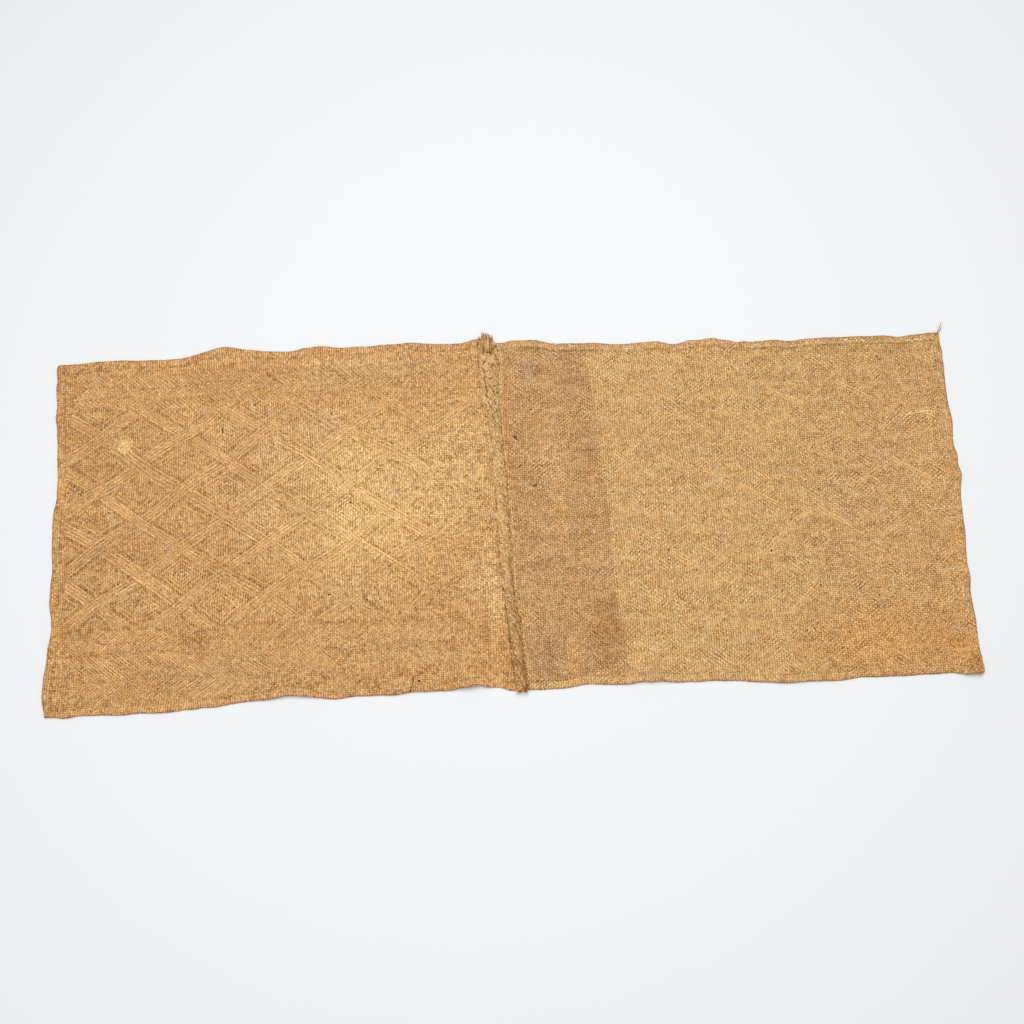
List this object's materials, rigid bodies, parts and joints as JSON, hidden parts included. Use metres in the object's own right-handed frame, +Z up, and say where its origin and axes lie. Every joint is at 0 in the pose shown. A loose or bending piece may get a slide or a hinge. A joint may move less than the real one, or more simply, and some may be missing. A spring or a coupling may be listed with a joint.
{
  "type": "kuba cloth panel",
  "caption": "Flat woven raffia panel: two hemmed raffia cloths joined side by side by a raw, frayed seam, one with an interlaced lozenge weave.",
  "frame": {"origin": "on the surface that the panel lies on, under the middle of its outline", "axes": "+X along the panel from the lozenge cloth to the plain cloth, +Y across it towards the seam's frayed tuft, +Z up"},
  "size_m": [1.1497, 0.4756, 0.0112],
  "materials": {
    "lozenge_raffia": "golden tan raffia in an interlaced lozenge float weave, matt with a faint straw sheen",
    "plain_raffia": "grainy beige-tan raffia with a browner band along the seam, matt",
    "frayed_raffia": "pale frayed raffia fibres with brown ends, matt",
    "loose_thread": "brown raffia thread"
  },
  "bodies": {
    "root": {"left_cloth": "lozenge_raffia", "right_cloth": "plain_raffia", "seam_ridge": "frayed_raffia", "corner_threads": "loose_thread"}
  },
  "joints": []
}
